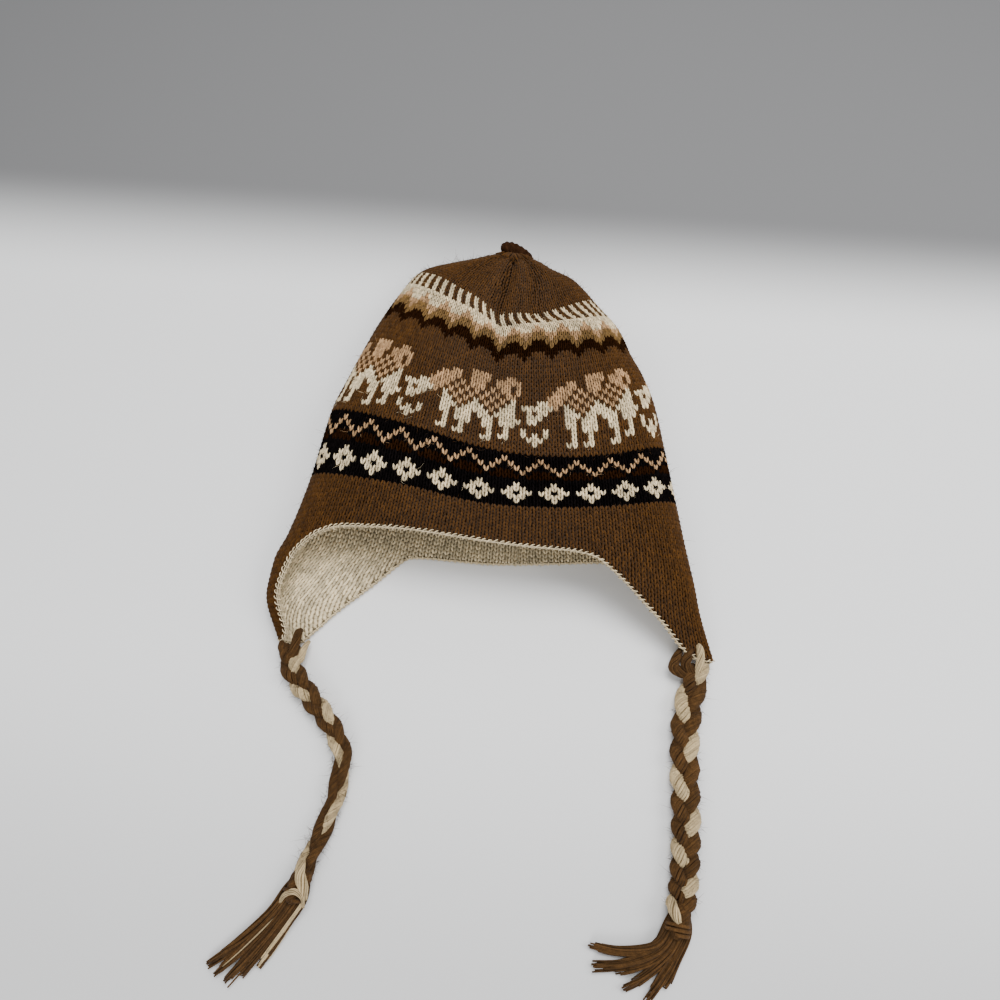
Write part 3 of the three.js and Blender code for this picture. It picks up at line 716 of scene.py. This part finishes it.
def add_stitches(piece, surface, places, slots, depth, facing, fine, leg_width=LEG_WIDTH):
    """Two bent legs a stitch. facing is 1 on the outer face and -1 on the inner one.

    fine: a leg bends at one point more."""
    around, down, pitch = places[:, 0], places[:, 1], places[:, 2]
    n = len(places)
    shift = random.normal(0, 0.035, (2, n))
    size = random.normal(1, 0.05, n)
    t = np.array([0.0, 0.16, 0.5, 0.84, 1.0]) if fine else np.array([0.0, 0.28, 0.72, 1.0])
    arch = np.sin(math.pi * (0.08 + 0.84 * t))
    for side in (-1, 1):
        lean = side * (0.37 - 0.27 * t + 0.03 * np.sin(math.pi * t))
        x = around[:, None] + pitch[:, None] * (lean + shift[0][:, None])
        y = down[:, None] + (-0.80 + 1.52 * t + shift[1][:, None]) / ROWS
        y = np.clip(y, 0.3 / ROWS, edge_down(x % 1) - 0.15 / ROWS)
        wide = knit.wale(around, down) * pitch * WALES * size
        tall = np.minimum(LEG_HALF_HEIGHT, 0.42 * wide)
        lift = facing * (0.85 * tall[:, None] * (arch - 1))
        centres = surface.at(x, y, depth - lift)
        width = leg_width * wide[:, None] * (0.62 + 0.38 * arch)
        normal = facing * knit.normal(x, y)
        piece.tubes(centres[:, 1:-1], width[:, 1:-1], normal[:, 1:-1], sides=4, slots=slots,
                    tips=centres[:, [0, -1]], flat=(tall / (leg_width * wide))[:, None],
                    start_v=random.random((n, 1)) * 50)


def knit_pieces(cells):
    bands = {
        "outer_knit_crown": range(TEETH_ROWS.start),
        "outer_knit_zigzag": range(TEETH_ROWS.start, LLAMA_FROM),
        "outer_knit_llamas": range(LLAMA_FROM, BAND_ROWS.start),
        "outer_knit_band": BAND_ROWS,
        "outer_knit_brim": range(BAND_ROWS.stop, ROWS + FLAP_ROWS),
    }
    for name, rows in bands.items():
        places = stitch_places(rows)
        slots = colour_at(cells, places[:, 0], places[:, 3].astype(int))
        beneath = (places[:, 0] < 0.2) | (places[:, 0] > 0.8)
        piece = Piece()
        for lower in (False, True):
            chosen = beneath == lower
            add_stitches(piece, knit, places[chosen], slots[chosen], LEG_DEPTH, 1, not lower)
        if name == "outer_knit_crown":
            add_apex_gathers(piece)
        make_piece(name, piece, knit_yarns)


def add_apex_gathers(piece):
    """Yarn drawn together over the crown's tip, in front of the knot."""
    count = 13
    around = 0.30 + 0.40 * (np.arange(count) + 0.5 + random.normal(0, 0.12, count)) / count
    t = np.linspace(0, 1, 6)
    places = np.broadcast_to(around[:, None], (count, 6))
    lift = -0.3 + 1.3 * np.sin(math.pi * 0.8 * t) + random.normal(0, 0.15, (count, 1))
    centres = knit.at(places, np.broadcast_to(0.030 * (1 - t), places.shape), -lift)
    centres += CROWN_NORMAL * (0.8 * t ** 2)[:, None]
    piece.tubes(centres, 1.0 - 0.2 * t, CROWN_NORMAL, sides=6)


def lining_pieces():
    places = stitch_places(range(LINING_FROM_ROW, ROWS + FLAP_ROWS))
    front = (places[:, 0] > 0.3) & (places[:, 0] < 0.7)
    depth = OUTER_WALL + GAP + LINING_WALL - LEG_DEPTH
    piece = Piece()
    for upper in (False, True):
        chosen = front == upper
        add_stitches(piece, smooth, places[chosen], 0, depth, -1, not upper, LINING_LEG_WIDTH)
    add_seam(piece, depth + 0.7)
    make_piece("lining_stitches", piece, [lining_yarn])


def add_seam(piece, depth):
    """The lining's sewn seam, two strands that sway apart and together."""
    t = np.linspace(0, 1, 80)
    down = 0.78 + 0.22 * t
    for side in (-1, 1):
        sway = side * (0.34 + 0.18 * np.cos(34 * math.pi * t))
        centres = smooth.at(SEAM_AROUND + sway / WALES, down, depth)
        piece.tubes(centres[None], 0.6, UP)


# Edge stitching
def rim_line(count):
    """Points evenly spaced along the lower edge, with the directions along it, off the knit and out."""
    around = np.linspace(0, 1, 4001)
    depth = (OUTER_WALL + GAP + LINING_WALL) / 2
    reach = length_along(knit.at(around, edge_down(around), depth))
    place = np.interp(np.arange(count) / count * reach[-1], reach, around)
    points = knit.at(place, edge_down(place), depth)
    tangent = unit(np.roll(points, -1, 0) - np.roll(points, 1, 0))
    normal = knit.normal(place, edge_down(place))
    outward = unit(np.cross(normal, tangent))
    return points, tangent, normal, outward


def edge_piece():
    """Small loops of yarn over the edge and two thin lines along it."""
    steps = 12
    points, tangent, normal, outward = rim_line(EDGE_LOOPS * steps)
    turn = 2 * math.pi * np.arange(EDGE_LOOPS * steps) / steps
    wobble = np.repeat(random.normal(0, 0.2, EDGE_LOOPS), steps)
    over = 2.1 + 0.2 * wobble
    inward = 1.05 + wobble
    line = (points + outward * 0.15 + normal * (over * np.cos(turn))[:, None]
            + outward * (inward * np.sin(turn))[:, None]
            + tangent * (0.9 * np.sin(turn + 0.4))[:, None])
    line[:, 2] = np.maximum(line[:, 2], 0.4)
    piece = Piece()
    piece.tubes(line[None], EDGE_RADIUS, tangent[None], closed=True)
    count = 600
    points, _, normal, outward = rim_line(count)
    wave = np.sin(2 * math.pi * np.arange(count) / count * EDGE_LOOPS)
    for height in (0.7, -0.7):
        thin = points + outward * (0.5 + 0.15 * wave)[:, None] + normal * height
        thin[:, 2] = np.maximum(thin[:, 2], 0.6)
        piece.tubes(thin[None], EDGE_LINE_RADIUS, normal[None], closed=True)
    make_piece("edge_stitches", piece, [edge_yarn], ["edge_stitching"])


# Crown knot
def crown_knot_piece():
    """A fat ribbed strand, thick at its left end, that leans down to the right behind the crown."""
    t = np.linspace(-1, 1, 61)
    thick = KNOT_RADIUS * (1 + (KNOT_TAPER - 1) * (t + 1) / 2)
    up = np.array([0, -CROWN_NORMAL[2], CROWN_NORMAL[1]])
    across = np.array([1.0, 0, 0])
    line = (knit.at(np.zeros(1), np.zeros(1))[0] + across * (KNOT_SHIFT + t * KNOT_LENGTH / 2)[:, None]
            + CROWN_NORMAL * (thick + GAP - 1.6 - 2.6 * np.maximum(t + 0.3, 0) ** 1.5)[:, None])
    angle = 2 * math.pi * np.arange(32) / 32
    body = thick * np.sqrt(np.maximum(1 - t ** 4, 0.02))
    ribs = (0.09 * np.cos(6.5 * math.pi * t[:, None] + 1.3 * np.sin(angle)) ** 3
            + 0.05 * np.cos(5 * angle + 4 * t[:, None]))
    radius = body[:, None] * (0.94 + ribs)
    points = (line[:, None] + radius[..., None] * (np.cos(angle)[:, None] * CROWN_NORMAL
                                                   + np.sin(angle)[:, None] * up))
    points = np.concatenate([points.reshape(-1, 3), line[[0, -1]]])
    quads, _, _ = ring_quads(*radius.shape)
    triangles = end_fans(*radius.shape)
    flat = points[:, :2] / 3
    piece = Piece()
    piece.add(points, quads, triangles, 0, 0, 0.4, flat[quads], flat[triangles])
    make_piece("crown_knot_gathers", piece, [knot_yarn], ["crown_knot"])


# Braids
def add_hank(piece, line, radius, slot, turns, yarns=HANK_YARNS, flat=0.85, side=None):
    """A loosely twisted bundle of yarns round a core darkened as painted shade between the yarns, along a
    line.
    """
    m = len(line)
    tangent = unit(np.gradient(line, axis=0))
    if side is None:
        side = unit(np.cross(UP, tangent))
    top = unit(np.cross(tangent, side))
    radius = np.broadcast_to(radius, m)
    spin = 2 * math.pi * turns * np.arange(m) / m
    # The darker core, painted shade between the yarns
    piece.tubes(line[None], radius[None] * 0.70, top[None], sides=8, slots=slot + SHADED_CORE, flat=flat)
    centres = []
    for i in range(yarns):
        angle = 2 * math.pi * i / yarns + spin + random.normal(0, 0.08)
        out = radius * random.uniform(0.74, 0.84)
        centres.append(line + side * (out * np.cos(angle))[:, None]
                       + top * (flat * out * np.sin(angle))[:, None])
    piece.tubes(np.array(centres), radius[None] * 0.195, top[None], slots=slot)


def plait(name, route, width, crossings, first_side, roots):
    """Three hanks that cross in turn.

    crossings: where the light hank lies on top, along the route. roots: how each hank comes off
    the ear flap, the light one first."""
    points = [(x, y, BRAID_THICKNESS / 2) for x, y in route]
    line = evenly(smooth_line(points, 12), 131)
    reach = length_along(line)
    marks = np.array(crossings, float)
    turns = (0.125 if first_side == "left" else 0.625) + 0.5 * np.arange(len(marks))
    lead = (turns[1] - turns[0]) / (marks[1] - marks[0])
    tail = (turns[-1] - turns[-2]) / (marks[-1] - marks[-2])
    beyond = 40
    marks = np.concatenate([[marks[0] - beyond], marks, [marks[-1] + beyond]])
    turns = np.concatenate([[turns[0] - beyond * lead], turns, [turns[-1] + beyond * tail]])
    phase = np.interp(reach, marks, turns)
    blur = np.ones(13) / 13
    phase = np.convolve(np.pad(phase, 6, mode="reflect", reflect_type="odd"), blur, "valid")
    tangent = unit(np.gradient(line, axis=0))
    side = unit(np.cross(UP, tangent))
    wide = np.interp(reach / reach[-1], *zip(*width))
    hank_radius = wide * 0.25
    swing = wide / 2 - hank_radius
    piece, root_piece = Piece(), Piece()
    for i, slot in enumerate((CREAM, BROWN, BROWN)):
        angle = 2 * math.pi * (phase + i / 3)
        centre = (line - side * (swing * np.cos(angle))[:, None]
                  + UP * (0.21 * BRAID_THICKNESS * np.sin(2 * angle))[:, None])
        centre[:, 2] = np.maximum(centre[:, 2], hank_radius * 0.92)
        add_hank(piece, centre, hank_radius, slot, turns=reach[-1] / 15, side=side)
        root = smooth_line([*roots[i], centre[7]], 6)
        shares = (0.30, 0.50, 0.75) if slot == CREAM else (0.35, 0.68, 0.92)
        thin = np.interp(np.arange(len(root)), (0, 5, len(root) - 1), shares)
        add_hank(root_piece, root, thin * hank_radius[0], slot, turns=0.9)
    node = name.replace("_plait", "")
    made = make_piece(name, piece, hank_yarns, [node])
    return made, make_piece(node + "_roots", root_piece, hank_yarns), line, reach[-1]


def add_locks(piece, start, middle, end, onward, tips, pale, loose):
    """Yarn ends along the locks of the solid model.

    pale: the cream strands of each lock. loose: how far a lock's strands spread at its tip."""
    flow = end - middle
    across = unit(np.array([flow[1], -flow[0], 0.0]))
    steps, fine_steps = 18, 40
    t = np.linspace(0, 1, steps)
    for i, (x, y) in enumerate(tips):
        spread = across * (0.5 - i / (len(tips) - 1)) * TIE_RADIUS * 1.3
        tip = np.array([x, y, LOCK_TIP_RADIUS * 1.15])
        root = middle + spread
        root[2] = TIE_RADIUS * 0.8
        knee = (end + flow * 0.35 + spread) * 0.9 + tip * 0.1
        knee[2] = LOCK_RADIUS
        reach = (knee + tip) / 2 + flow * 0.35
        reach[2] = LOCK_RADIUS * 0.8
        line = evenly(smooth_line([start - onward * 2, root, knee, reach, tip], 8), steps)
        side = unit(np.cross(UP, unit(np.gradient(line, axis=0))))
        centres, slots = [], []
        for strand in range(LOCK_STRANDS):
            angle = 2 * math.pi * strand / LOCK_STRANDS + random.normal(0, 0.3)
            out = (0.85, 0.55, 0.25)[strand % 3] * (LOCK_RADIUS * (1 - t) + loose * t)
            turn = angle + 1.6 * t + random.normal(0, 0.2)
            sway = random.normal(0, 0.5) * np.sin(math.pi * t * random.uniform(0.8, 1.6))
            own = line + side * (out * np.cos(turn) + sway * t)[:, None]
            own[:, 2] = np.maximum(own[:, 2] + 0.8 * out * np.sin(turn), 0.7)
            stop = min(random.uniform(0.84, 1.02), 1)
            own = evenly(own, fine_steps)
            short = np.linspace(0, stop * (fine_steps - 1), steps)
            own = np.stack([np.interp(short, np.arange(fine_steps), own[:, a]) for a in range(3)], -1)
            centres.append(own)
            slots.append(CREAM if strand in pale.get(i, ()) else BROWN)
        piece.tubes(np.array(centres), STRAND_RADIUS * (1 - 0.25 * t), UP, slots=np.array(slots))


def add_binding(piece, start, middle, end, onward, turns, radius, marks):
    """The head of the tassel and the yarn wound round it. marks: light hanks that lie on it."""
    t = np.linspace(0, 1, int(turns * 20))
    from_point = middle * 0.75 + start * 0.25
    along = from_point + (end - from_point) * (0.05 + 0.5 * t)[:, None]
    side = unit(np.cross(UP, onward))
    angle = 2 * math.pi * turns * t + 0.6
    line = (along + side * (radius * np.cos(angle))[:, None]
            + UP * (radius * 0.86 * np.sin(angle))[:, None])
    line[:, 2] = np.maximum(line[:, 2], 0.9)
    piece.tubes(line[None], 0.95, np.broadcast_to(onward, line[None].shape), sides=6, slots=BROWN)
    core = evenly(smooth_line([start - onward * 3, middle, middle * 0.3 + end * 0.7], 8), 17)
    shape = TIE_RADIUS * np.interp(np.arange(17), (0, 3, 8, 13, 16), (0.62, 0.82, 0.82, 0.6, 0.25))
    add_hank(piece, core, shape, BROWN, turns=0.7, yarns=14, flat=0.9)
    for points, thick in marks:
        mark = smooth_line(points, 6)
        swell = np.sin(math.pi * np.linspace(0.14, 0.86, len(mark)))
        add_hank(piece, mark, thick * swell, CREAM, turns=0.5, yarns=9)


def tassel(name, route, neck, tips, pale, loose, turns, radius, marks):
    """Yarn ends that fan out of a bound head at the braid's end."""
    before, braid_end = (np.array([*point, BRAID_THICKNESS / 2]) for point in route[-2:])
    head_height = TIE_RADIUS * 1.07
    onward = unit(braid_end - before)
    start = braid_end + onward * GAP * 3
    end = np.array([*neck, head_height])
    middle = start + onward * np.linalg.norm(end - start) / 2
    middle[2] = head_height
    piece = Piece()
    add_locks(piece, start, middle, end, onward, tips, pale, loose)
    add_binding(piece, start, middle, end, onward, turns, radius, marks)
    return make_piece(name, piece, hank_yarns, [name.replace("_yarn", "")])


# Fuzz
def fuzz_piece(name, roots, normals, lengths, slots, materials):
    """Fine hairs that stand off the yarn."""
    n = len(roots)
    wild = unit(random.normal(0, 1, (n, 3)))
    lean = unit(normals * 0.55 + wild * 0.75)
    bend = unit(random.normal(0, 1, (n, 3)))
    t = np.array([[0.0], [0.5]])
    lengths = lengths[:, None, None]
    line = roots[:, None] + lengths * (lean[:, None] * t + bend[:, None] * 0.25 * t ** 2)
    tip = roots[:, None] + lengths * (lean[:, None] + bend[:, None] * 0.45)
    line[..., 2] = np.maximum(line[..., 2], LOWEST_HAIR)
    tip[..., 2] = np.maximum(tip[..., 2], LOWEST_HAIR)
    up = unit(np.cross(lean, bend))[:, None]
    piece = Piece()
    piece.tubes(line, np.array([1.0, 0.8]) * HAIR_RADIUS, up, sides=3, slots=slots,
                tips=np.concatenate([line[:, :1], tip], axis=1))
    return make_piece(name, piece, materials)


def knit_fuzz(cells):
    row = random.integers(1, ROWS + 4, KNIT_HAIRS)
    around = random.random(KNIT_HAIRS)
    down = (row + random.random(KNIT_HAIRS)) / ROWS
    on = down < edge_down(around)
    around, down, row = around[on], down[on], row[on]
    roots = knit.at(around, down, 0.3)
    lengths = np.minimum(random.gamma(3.0, 0.8, len(roots)) + 0.8, LONGEST_HAIR)
    colours = colour_at(cells, around, np.floor(row - row_slip(around, row)).astype(int))
    fuzz_piece("outer_knit_fuzz", roots, knit.normal(around, down), lengths, colours, knit_yarns)


def braid_fuzz(name, line, width):
    """Loose fibres along a braid."""
    place = random.integers(0, len(line), BRAID_HAIRS)
    angle = math.pi * random.random(BRAID_HAIRS)
    side = unit(np.cross(UP, np.gradient(line, axis=0)))[place]
    normals = side * np.cos(angle)[:, None] + UP * np.sin(angle)[:, None]
    roots = line[place] + normals * np.array([width * 0.42, width * 0.42, 3.6])
    lengths = np.minimum(random.gamma(3.0, 0.9, BRAID_HAIRS) + 1.0, LONGEST_HAIR)
    return fuzz_piece(name, roots, normals, lengths, 0, hank_yarns[:1])


# Building
cells = chart()
ground = cap_shell(knit, GROUND_DEPTH, OUTER_WALL, range(1, EVEN_ROWS), 12, WALES, cells)
make_piece("outer_knit_ground", ground, shaded_ground_yarns, ["outer_knit"])
knit_pieces(cells)
inner_face = OUTER_WALL + GAP
lining = cap_shell(smooth, inner_face, inner_face + LINING_WALL - LINING_GROUND_DEPTH,
                   range(3, EVEN_ROWS, 2), 10, WALES // 2, sink=LINING_SINK)
make_piece("lining_ground", lining, [shaded_lining_ground_yarn], ["lining"])
lining_pieces()
edge_piece()
crown_knot_piece()

left_plait, left_roots, left_line, left_length = plait(
    "left_braid_plait", LEFT_ROUTE, LEFT_WIDTHS, LEFT_CROSSINGS, "left", LEFT_ROOTS)
right_plait, right_roots, right_line, right_length = plait(
    "right_braid_plait", RIGHT_ROUTE, RIGHT_WIDTHS, RIGHT_CROSSINGS, "right", RIGHT_ROOTS)
left_tassel = tassel(
    "left_tassel_yarn", LEFT_ROUTE, LEFT_NECK, LEFT_TIPS,
    pale={4: (0, 3, 4, 6, 9, 10, 12, 15, 20, 21), 3: (5,), 1: (2, 9)}, loose=2.0,
    turns=1.1, radius=5.2, marks=LEFT_MARKS)
right_tassel = tassel(
    "right_tassel_yarn", RIGHT_ROUTE, RIGHT_NECK, RIGHT_TIPS,
    pale={}, loose=1.9, turns=2.2, radius=5.6, marks=RIGHT_MARKS)
knit_fuzz(cells)
left_fuzz = braid_fuzz("left_braid_fuzz", left_line, 11.5)
right_fuzz = braid_fuzz("right_braid_fuzz", right_line, 15.0)


# Floor, light and camera
def floor_material():
    """A pale floor that darkens toward the camera and behind the crown, painted shade where the light
    falls off.
    """
    material = bpy.data.materials.new("floor")
    material.use_nodes = True
    nodes, links = material.node_tree.nodes, material.node_tree.links
    shader = nodes["Principled BSDF"]
    set_inputs(shader, {"Roughness": 0.9, "Specular IOR Level": 0.1})
    place = nodes.new("ShaderNodeTexCoord")
    split = nodes.new("ShaderNodeSeparateXYZ")
    links.new(place.outputs["Object"], split.inputs["Vector"])
    ramp = nodes.new("ShaderNodeValToRGB")
    ramp.color_ramp.interpolation = "EASE"
    stops = ramp.color_ramp.elements
    # Painted shade: darker toward the camera (first stop) and darkest far behind the crown (last stop)
    stops[0].color = (0.56, 0.56, 0.56, 1)
    stops[1].color = (0.165, 0.165, 0.167, 1)
    for share in (0.35, 0.80):
        stops.new(share).color = (0.79, 0.79, 0.79, 1)
    span = nodes.new("ShaderNodeMapRange")
    set_inputs(span, {"From Min": -0.36, "From Max": 0.190})
    links.new(split.outputs["Y"], span.inputs["Value"])
    links.new(span.outputs["Result"], ramp.inputs["Fac"])
    links.new(ramp.outputs["Color"], shader.inputs["Base Color"])
    return material


bpy.ops.mesh.primitive_plane_add(size=6.0, location=(0, 0, -0.0003))
floor = bpy.context.object
floor.name = "floor"
floor.data.materials.append(floor_material())

world = bpy.data.worlds.new("soft_room")
bpy.context.scene.world = world
world.use_nodes = True
set_inputs(world.node_tree.nodes["Background"], {"Color": (0.97, 0.985, 1.0, 1), "Strength": 0.66})


def area_light(name, place, aim, size, power):
    light = bpy.data.lights.new(name, "AREA")
    light.shape = "DISK"
    light.size = size
    light.energy = power
    made = bpy.data.objects.new(name, light)
    bpy.context.scene.collection.objects.link(made)
    made.location = place
    direction = np.array(aim, float) - np.array(place, float)
    made.rotation_euler = (math.acos(-direction[2] / np.linalg.norm(direction)), 0,
                           math.atan2(direction[1], direction[0]) - math.pi / 2)


area_light("top_light", (0.10, 0.25, 1.3), (0.0, -0.05, 0), 0.8, 18)
area_light("front_light", (-0.15, -0.85, 0.42), (0.0, 0.0, 0.01), 0.35, 3.0)
area_light("side_light", (0.9, -0.1, 0.9), (0.0, -0.05, 0), 0.7, 8)

camera_data = bpy.data.cameras.new("camera")
camera_data.sensor_width = 36.0
camera_data.lens = 27.04
camera = bpy.data.objects.new("camera", camera_data)
bpy.context.scene.collection.objects.link(camera)
camera.location = (0.02618, -0.26672, 0.430)
camera.rotation_euler = (math.radians(25), 0, math.radians(5.5))
bpy.context.scene.camera = camera
